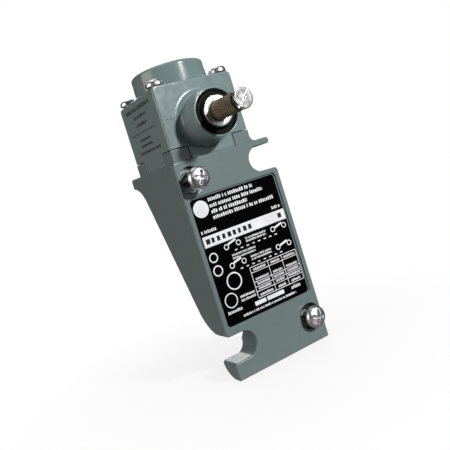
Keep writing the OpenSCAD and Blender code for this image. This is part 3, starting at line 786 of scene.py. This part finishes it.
def tip_field(x, y, z):
    """The bright end of the shaft, with its screwdriver slot."""
    radius = np.hypot(x - HEAD_CX, z - SHAFT_Z)
    solid = round_max(radius - SHAFT_R, between(y, SHAFT_LOW[1], NECK_Y), 0.35)
    solid = np.minimum(solid, np.maximum(radius - NECK_R + SLIP, between(y, NECK_Y - 1, NECK_Y)))
    across = np.abs((x - HEAD_CX) - (z - SHAFT_Z)) / math.sqrt(2)
    slot = np.maximum(across - TIP_SLOT_W / 2, y - SHAFT_LOW[1] - TIP_SLOT_T)
    return round_max(solid, -slot, 0.03)


shaft_low = (HEAD_CX - SHAFT_R, NECK_Y, SHAFT_Z - SHAFT_R)
shaft_high = (HEAD_CX + SHAFT_R, SHAFT_HIGH[1], SHAFT_Z + SHAFT_R)
shaft_spans = (
    [(shaft_low[0], shaft_high[0], 0.13)],
    [(NECK_Y, JOURNAL_Y, 0.13), (RING_Y, RING_Y + RING_W, 0.2), (HEAD_CY - 1, HEAD_CY + 1, 0.25),
     (REAR_Y, REAR_Y, 0.1)],
    [(shaft_low[2], shaft_high[2], 0.13)],
)
solid_piece("knurled_shaft", shaft_field, shaft_low, shaft_high, shaft_spans, 1.0, "shaft", "operating_shaft")
tip_low = (shaft_low[0], SHAFT_LOW[1], shaft_low[2])
tip_high = (shaft_high[0], NECK_Y, shaft_high[2])
tip = solid_piece("shaft_tip", tip_field, tip_low, tip_high, coarse=0.1, body="shaft", node="operating_shaft")
tip.data.materials[0] = TIP_METAL


def sleeve(bore_r, outer_r, low, high):
    """Profile of a plain ring from one place along its axis to another."""
    return [(bore_r, low), (outer_r, low), (outer_r, high), (bore_r, high)]


bush_profile = sleeve(JOURNAL_R + 0.04, BUSH_R, BUSH_LOW[1], BUSH_HIGH[1])
turned("turned_bush", bush_profile, AXIS, "switch_body", "shaft_bush", 0.3)
seal_bore_r = BUSH_R + SLIP
seal_front = SEAL_LOW[1]
lip_floor = seal_front + 0.45
seal_profile = [
    (seal_bore_r, seal_front), (BUSH_R + 0.5, seal_front + 0.05), (BUSH_R + 0.8, lip_floor),
    (SEAL_R - 0.8, lip_floor), (SEAL_R - 0.5, seal_front + 0.05), (SEAL_R, seal_front + 0.1),
    (SEAL_R, SEAL_HIGH[1]), (seal_bore_r, SEAL_HIGH[1]),
]
turned("lip_seal", seal_profile, AXIS, "switch_body", "shaft_seal", 0.2)


# ---- captive screws ----

HEAD_R, HEAD_T = 4.2, 2.6
HEAD_BALL_R = 7.2
RECESS_HALF_W, RECESS_REACH, RECESS_T = 0.62, 2.75, 1.6
RECESS_TURNS = (20, 110)
COLLAR_L = 1.5
NECK_WIRE_R = 1.6
THREAD_R, THREAD_PITCH, THREAD_DEPTH = 2.0, 0.7, 0.5
THREAD_L = {"upper": 6.5, "lower": 4.2}
WASHER_BORE_R, WASHER_R, WASHER_T = 2.75, 4.7, 0.75


def cross_recess(u, v, depth):
    """The four-armed recess, which narrows as it goes in."""
    arms = []
    for turn in RECESS_TURNS:
        c, s = math.cos(math.radians(turn)), math.sin(math.radians(turn))
        along, across = np.abs(u * s + v * c), np.abs(u * c - v * s)
        arm = np.maximum(across - RECESS_HALF_W, along - RECESS_REACH + depth * 0.5)
        arms.append(np.maximum(arm, depth - RECESS_T))
    return arms


def captive_field(at, head_y, end_y, thread_l):
    """A pan-head screw with a cross recess, a long neck and a thread at its end."""
    def field(x, y, z):
        u, v = x - at[0], z - at[1]
        radius = np.hypot(u, v)
        back = head_y + HEAD_T
        crown = np.sqrt(u * u + v * v + (y - head_y - HEAD_BALL_R) ** 2) - HEAD_BALL_R
        solid = round_max(round_max(radius - HEAD_R, y - back, 0.15), crown, 0.9)
        for arm in cross_recess(u, v, y - head_y):
            solid = round_max(solid, -arm, 0.1)
        collar = np.maximum(radius - THREAD_R, between(y, back - 0.5, back + COLLAR_L))
        neck = np.maximum(radius - NECK_WIRE_R, between(y, back, end_y - thread_l + 0.2))
        phase = (y / THREAD_PITCH - np.arctan2(u, v) / math.tau) % 1
        flank = THREAD_R - THREAD_DEPTH * np.minimum(np.abs(phase - 0.5) * 2, 0.85)
        thread = np.maximum((radius - flank) * 0.6, between(y, end_y - thread_l, end_y))
        point = radius + y - end_y - THREAD_R + 0.6
        thread = np.maximum(thread, point * 0.7)
        return np.minimum(np.minimum(solid, collar), np.minimum(neck, thread))
    return field


def captive_screw(side, at):
    """A captive screw with its O-ring and its split washer."""
    node = side + "_captive_screw"
    low, high = box_mm(node)
    thread_l = THREAD_L[side]
    thread_low, thread_high = -THREAD_R - 0.6, THREAD_R + 0.6
    spans = (
        [(at[0] + thread_low, at[0] + thread_high, 0.13)],
        [(low[1], low[1] + 1.8, 0.12), (low[1] + HEAD_T - 0.2, low[1] + HEAD_T + 0.2, 0.12),
         (high[1] - thread_l, high[1], 0.11)],
        [(at[1] + thread_low, at[1] + thread_high, 0.13)],
    )
    field = captive_field(at, low[1], high[1], thread_l)
    solid_piece(side + "_screw_turned", field, low, high, spans, 0.24, side + "_screw", node)
    low, high = box_mm(side + "_screw_o_ring")
    profile = sleeve(THREAD_R + 0.03, (high[0] - low[0]) / 2, low[1], high[1])
    turned(side + "_o_ring", profile, at, side + "_screw_ring", side + "_screw_o_ring", 0.28)
    low = box_mm("screw_washers")[0]
    profile = sleeve(WASHER_BORE_R, WASHER_R, low[1], low[1] + WASHER_T)
    name = side + "_spring_washer"
    washer = turned(name, profile, at, "switch_body", "screw_washers", 0.12, arc=0.975, rise=0.24)
    # the washer's darker metal is painted shade of its counterbore
    washer.data.materials[0] = WASHER_PAINTED_SHADE


captive_screw("upper", UPPER_SCREW)
captive_screw("lower", LOWER_SCREW)


# ---- head screws ----

screw_low, screw_high = box_mm("head_screws")
HEAD_SCREW_R = 3.3
HEAD_SCREW_BALL_R = 5.4
HEAD_SCREW_SHANK_R = 1.68
SCREW_SLOT_W, SCREW_SLOT_T = 0.8, 1.2


def head_screw_field(at):
    """A slotted screw with a domed head."""
    def field(x, y, z):
        radius = np.hypot(x - at[0], y - at[1])
        crown = np.sqrt(radius**2 + (z - screw_high[2] + HEAD_SCREW_BALL_R) ** 2) - HEAD_SCREW_BALL_R
        solid = round_max(round_max(radius - HEAD_SCREW_R, HEAD_TOP - z, 0.1), crown, 0.6)
        slot = np.maximum(np.abs(y - at[1]) - SCREW_SLOT_W / 2, screw_high[2] - SCREW_SLOT_T - z)
        solid = round_max(solid, -slot, 0.08)
        shank = np.maximum(radius - HEAD_SCREW_SHANK_R, between(z, screw_low[2], HEAD_TOP + 0.2))
        return np.minimum(solid, shank)
    return field


for number, at in enumerate(HEAD_SCREW_PLACES, 1):
    low = (at[0] - HEAD_SCREW_R, at[1] - HEAD_SCREW_R, screw_low[2])
    high = (at[0] + HEAD_SCREW_R, at[1] + HEAD_SCREW_R, screw_high[2])
    spans = ([(low[0], high[0], 0.16)], [(low[1], high[1], 0.16)], [(HEAD_TOP - 0.3, high[2], 0.13)])
    solid_piece(f"head_screw_{number}", head_screw_field(at), low, high, spans, 0.8, node="head_screws")


# ---- nameplate and its plain print ----

def plate_field(x, y, z):
    outline = rectangle(x, z, (PLATE_LOW[0], PLATE_LOW[2]), (PLATE_HIGH[0], PLATE_HIGH[2]), 1.2)
    return round_max(outline, between(y, PLATE_LOW[1], PLATE_HIGH[1]), 0.12)


plate_spans = (
    [(PLATE_LOW[0], PLATE_LOW[0] + 1, 0.12), (PLATE_HIGH[0] - 1, PLATE_HIGH[0], 0.12)],
    [(PLATE_LOW[1], PLATE_HIGH[1], 0.07)],
    [(PLATE_LOW[2], PLATE_LOW[2] + 1, 0.12), (PLATE_HIGH[2] - 1, PLATE_HIGH[2], 0.12)],
)
solid_piece("nameplate_sheet", plate_field, PLATE_LOW, PLATE_HIGH, plate_spans, 1.5, node="nameplate")


class Relief:
    """Flat shapes drawn in a plane and raised a little from it. Sizes are in millimetres."""

    def __init__(self, base, height, place):
        self.points, self.faces = [], []
        self.base, self.top, self.place = base, base - height, place

    def loop(self, outline):
        n, first = len(outline), len(self.points)
        self.points += [self.place(u, self.top, v) for u, v in outline]
        self.points += [self.place(u, self.base, v) for u, v in outline]
        self.faces += [tuple(first + i for i in face) for face in tube_faces(2, n, False)]

    def bar(self, u, v, width, height, lean=0.0):
        self.loop([(u, v), (u + width, v + lean), (u + width, v + height + lean), (u, v + height)])

    def disc(self, u, v, r, sides=40):
        turns = [k / sides * math.tau for k in range(sides)]
        self.loop([(u + r * math.cos(t), v + r * math.sin(t)) for t in turns])

    def ring(self, u, v, r, width, sides=40):
        first = len(self.points)
        section = ((r, self.top), (r - width, self.top), (r - width, self.base), (r, self.base))
        for t in (k / sides * math.tau for k in range(sides)):
            for radius, level in section:
                self.points.append(self.place(u + radius * math.cos(t), level, v + radius * math.sin(t)))
        self.faces += [tuple(first + i for i in face) for face in tube_faces(sides, len(section), True)]

    def dashes(self, draw, u, end, v, height, words=0.16):
        """A row of unreadable dashes, in groups as long as words."""
        while u < end:
            width = height * draw.uniform(0.3, 0.5)
            tall = height * draw.uniform(0.75, 1)
            self.bar(u, v, min(width, end - u), tall)
            u += width + height * (0.55 if draw.random() < words else 0.2)

    def piece(self, name, material):
        piece = mesh_piece(name, self.points, self.faces, "switch_body", smooth=None)
        piece.data.materials.append(material)
        return piece


PRINT_T = 0.03
PLATE_SINK = 0.005  # how far the print starts inside the sheet
BAND_Z, BAND_H = 48.3, 4.0
SYMBOL_R, SYMBOL_SPAN = 1.05, 5.3
LEVER_L, LEVER_T, LEVER_LEAN = 3.6, 0.8, 0.9
TABLE_COLUMNS = (17.2, 25.3, 31.7, 38.7)
TABLE_ROWS = (24.5, 26.8, 28.6, 30.4, 34.0, 36.0)
TABLE_LINE = 0.24
draw = random.Random(11)
print_low = PLATE_LOW[1] + PLATE_SINK


def on_plate(u, level, v):
    return (u, level, v)


def heading(sheet):
    """A plain disc, four rows of dashes, two short ones below and a plain band."""
    sheet.disc(5.4, 62.0, 3.1)
    for end, level in ((28.6, 63.8), (32.6, 61.5), (24.8, 59.3), (36.6, 57.2)):
        sheet.dashes(draw, 9.1, end, level, 1.4)
    sheet.dashes(draw, 2.6, 9.0, 53.3, 1.2)
    sheet.dashes(draw, 34.0, 38.0, 53.3, 1.2)
    inset = 0.15
    sheet.bar(PLATE_LOW[0] + inset, BAND_Z, PLATE_HIGH[0] - PLATE_LOW[0] - 2 * inset, BAND_H)


def contact_symbols(sheet):
    """Four contacts, as two rings and a lever each: open on the left, closed on the right."""
    for level in (46.2, 39.2):
        for left, lift in ((10.6, LEVER_LEAN), (31.7, 0)):
            sheet.ring(left, level, SYMBOL_R, 0.35)
            sheet.ring(left + SYMBOL_SPAN, level + 0.1, SYMBOL_R, 0.35)
            sheet.bar(left + 0.9, level - 0.1 + lift / 2, LEVER_L, LEVER_T, LEVER_LEAN)
        for row in (0, 1.1):
            sheet.dashes(draw, 19.1, 28.4, level - 0.9 + row, 0.75)
        for number in range(8):
            sheet.bar(13.6 + 2.6 * number, level - 2.3, 1.1, 0.4)
    for row in (0, 1.2):
        sheet.dashes(draw, 11.8, 22.2, 41.1 + row, 0.75)


def empty_rings(sheet):
    sheet.ring(4.4, 44.3, 1.8, 0.45)
    sheet.ring(4.6, 39.4, 2.0, 0.5)
    sheet.ring(9.6, 33.9, 3.2, 0.5)
    sheet.ring(6.1, 27.8, 2.7, 0.4)
    for row in (0, 1.4):
        sheet.dashes(draw, 10.0, 16.4, 25.8 + row, 0.9)


def ruled_table(sheet):
    for level in TABLE_ROWS:
        sheet.bar(TABLE_COLUMNS[0], level - 0.1, TABLE_COLUMNS[-1] - TABLE_COLUMNS[0], TABLE_LINE)
    for column in TABLE_COLUMNS:
        sheet.bar(column - TABLE_LINE / 2, TABLE_ROWS[0], TABLE_LINE, TABLE_ROWS[-1] - TABLE_ROWS[0])
    for left, right in zip(TABLE_COLUMNS, TABLE_COLUMNS[1:]):
        for low, high in zip(TABLE_ROWS, TABLE_ROWS[1:]):
            inset = draw.uniform(0.6, 1.4)
            sheet.dashes(draw, left + inset, right - inset, low + 0.55, min(0.9, high - low - 0.9), 0)


def closing_rows(sheet):
    sheet.dashes(draw, 3.4, 9.6, 23.3, 1.1)
    sheet.bar(15.0, 22.3, 5.0, 1.5)
    sheet.bar(20.6, 22.3, 7.8, 1.5)
    sheet.dashes(draw, 32.0, 36.4, 22.4, 1.3)
    sheet.dashes(draw, 9.0, 33.4, 20.5, 0.9)


def dark_dashes(sheet):
    """Dark dashes on the white band."""
    for number in range(9):
        width = draw.uniform(1.1, 1.7)
        sheet.bar(3.4 + 2.3 * number, BAND_Z + 1.1, width, 1.8)
    sheet.bar(35.6, BAND_Z + 1.1, 1.6, 1.8)


white = Relief(print_low, PRINT_T, on_plate)
for section in (heading, contact_symbols, empty_rings, ruled_table, closing_rows):
    section(white)
white.piece("nameplate_print", PRINT_WHITE)
black = Relief(print_low - PRINT_T + PLATE_SINK, PRINT_T, on_plate)
dark_dashes(black)
black.piece("nameplate_dark_print", PRINT_BLACK)

# rows of plain dashes cast in the left side of the head, in a darker enamel that is painted shade of sunk
# letters: start, end, level and height
CAST_ROWS = (
    (6.0, 29.0, 103.9, 1.5), (12.0, 24.0, 101.0, 1.2), (12.5, 22.5, 98.0, 1.2),
    (12.0, 22.0, 92.3, 1.0), (11.0, 22.0, 90.1, 1.0), (8.5, 28.0, 87.6, 1.0),
)
CAST_PROUD = 0.14
cast = Relief(HEAD_X0 + SLIP, CAST_PROUD, lambda u, level, v: (level, HEAD_Y0 + HEAD_Y1 - u, v))
for start, end, level, height in CAST_ROWS:
    cast.dashes(draw, start, end, level, height, 0.2)
cast.piece("head_cast_rows_painted_shade", CAST_ROWS_PAINTED_SHADE)


# ---- springs ----

CONTACT_SPRING_L = 2.96
MIDDLE = (HEAD_CX, HEAD_CY)

low, high = box_mm("plunger_spring")
name = "wound_plunger_spring"
spring = coil(name, MIDDLE, 4.05, 0.5, low[2], high[2], 6.5, "switch_body", "plunger_spring")
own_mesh(spring)
low, high = box_mm("detent_spring")
detent_at = (HEAD_CX, (low[1] + high[1]) / 2)
coil("wound_detent_spring", detent_at, 2.05, 0.33, low[2], high[2], 7, "switch_body", "detent_spring")
low, high = box_mm("contact_springs")
for number, foot in enumerate((low[2], high[2] - CONTACT_SPRING_L), 1):
    top = foot + CONTACT_SPRING_L
    coil(f"contact_spring_{number}", MIDDLE, 1.35, 0.24, foot, top, 4, "plunger", "contact_springs")


# ---- mechanism and contact block: the CAD shapes with their edges broken ----

EDGED_NODES = (
    "head_gasket", "rear_gasket", "shaft_retaining_ring", "rear_bush", "cam", "cam_pin", "detent_disc",
    "detent_plunger", "transfer_plunger", "plunger_guide", "plunger_seal", "contact_block_case",
    "contact_block_cover", "contact_block_screws", "contact_carrier", "upper_bridge", "lower_bridge",
    "upper_terminals", "lower_terminals", "ground_terminal", "ground_screw", "screw_retainers",
)
for node in EDGED_NODES:
    softened(node)


# ---- camera, floor, lights ----

def aim(thing, position, look, up):
    """Places a camera or a light at a position, looking along a direction."""
    z_axis = -Vector(look).normalized()
    x_axis = Vector(up).cross(z_axis).normalized()
    turn = Matrix((x_axis, z_axis.cross(x_axis), z_axis)).transposed()
    thing.matrix_world = Matrix.Translation(Vector(position)) @ turn.to_4x4()


camera = bpy.data.objects.new("camera", bpy.data.cameras.new("camera"))
bpy.context.scene.collection.objects.link(camera)
camera.data.sensor_width = 36
camera.data.lens = 45.7
camera.data.shift_x = 0.0548
camera.data.shift_y = -0.0649
camera.data.clip_start = 0.01
aim(camera, (-0.1077, -0.2012, 0.0323), (0.4626, 0.8861, -0.0287), (0.2776, -0.1140, 0.9539))
bpy.context.scene.camera = camera


def area_light(name, direction, distance, size, power, colour=(1, 1, 1), height=None):
    """A soft box that shines on the switch from a direction."""
    data = bpy.data.lights.new(name, "AREA")
    data.shape = "RECTANGLE"
    data.size = size
    data.size_y = height or size
    data.energy = power
    data.color = colour
    light = bpy.data.objects.new(name, data)
    bpy.context.scene.collection.objects.link(light)
    towards = Vector(direction).normalized()
    aim(light, towards * distance, -towards, (0, 0, 1))


area_light("key_light", (0.37, -1.0, 0.44), 0.9, 0.06, 7.0, (1, 1, 0.99))
area_light("metal_card", (0.5, -0.85, 0.05), 0.8, 0.25, 0.1)
area_light("dome_strip", (0.28, -0.94, 0.19), 0.9, 0.05, 0.26, height=0.12)
area_light("left_fill", (-1.0, 0.06, 0.3), 0.9, 0.6, 4.0, (1, 0.92, 0.89))
area_light("low_red_card", (-1.0, 0.1, -0.5), 0.9, 0.4, 0.5, (1, 0.42, 0.4))
area_light("foot_card", (0.02, -0.1, -0.09), 0.136, 0.04, 0.006, (1, 0.6, 0.7))
area_light("back_fill", (0.6, 1.0, 0.7), 1.0, 0.6, 3.0)
area_light("top_fill", (0.0, 0.1, 1.0), 0.9, 0.5, 1.5)


def studio_world():
    """White where the camera looks past the floor, and a weak greenish glow for everything else."""
    world = bpy.data.worlds.new("studio")
    bpy.context.scene.world = world
    world.use_nodes = True
    tree = world.node_tree
    tree.nodes.clear()
    output = tree.nodes.new("ShaderNodeOutputWorld")
    seen = tree.nodes.new("ShaderNodeBackground")
    glow = tree.nodes.new("ShaderNodeBackground")
    choose = tree.nodes.new("ShaderNodeMixShader")
    path = tree.nodes.new("ShaderNodeLightPath")
    seen.inputs["Color"].default_value = (1, 1, 1, 1)
    glow.inputs["Color"].default_value = (0.75, 1, 0.92, 1)
    glow.inputs["Strength"].default_value = 0.03
    tree.links.new(path.outputs["Is Camera Ray"], choose.inputs[0])
    tree.links.new(glow.outputs[0], choose.inputs[1])
    tree.links.new(seen.outputs[0], choose.inputs[2])
    tree.links.new(choose.outputs[0], output.inputs[0])


def pale_floor():
    """A round pale floor, mostly see-through, that fades into the white behind it."""
    below_switch = 0.0002
    see_through, fade_start, fade_end = 0.8, 0.02, 0.1
    mesh = bpy.data.meshes.new("floor")
    shape = bmesh.new()
    bmesh.ops.create_circle(shape, cap_ends=True, segments=96, radius=0.6)
    shape.to_mesh(mesh)
    shape.free()
    floor = bpy.data.objects.new("floor", mesh)
    floor.location = (0, 0, CORNER[2] - below_switch)
    bpy.context.scene.collection.objects.link(floor)
    material = new_material("floor_paint", (0.9, 0.9, 0.9), 0.9)
    links = material.node_tree.links
    coordinates = node_of(material, "ShaderNodeTexCoord")
    length = node_of(material, "ShaderNodeVectorMath", operation="LENGTH")
    links.new(coordinates.outputs["Object"], length.inputs[0])
    clear = node_of(material, "ShaderNodeBsdfTransparent")
    mix = node_of(material, "ShaderNodeMixShader")
    fade = ramp_of(material, length.outputs["Value"], see_through, 1, fade_start, fade_end)
    links.new(fade, mix.inputs[0])
    links.new(material.node_tree.nodes["Principled BSDF"].outputs[0], mix.inputs[1])
    links.new(clear.outputs[0], mix.inputs[2])
    links.new(mix.outputs[0], material.node_tree.nodes["Material Output"].inputs["Surface"])
    mesh.materials.append(material)


studio_world()
pale_floor()
bpy.context.scene.view_settings.view_transform = "Standard"
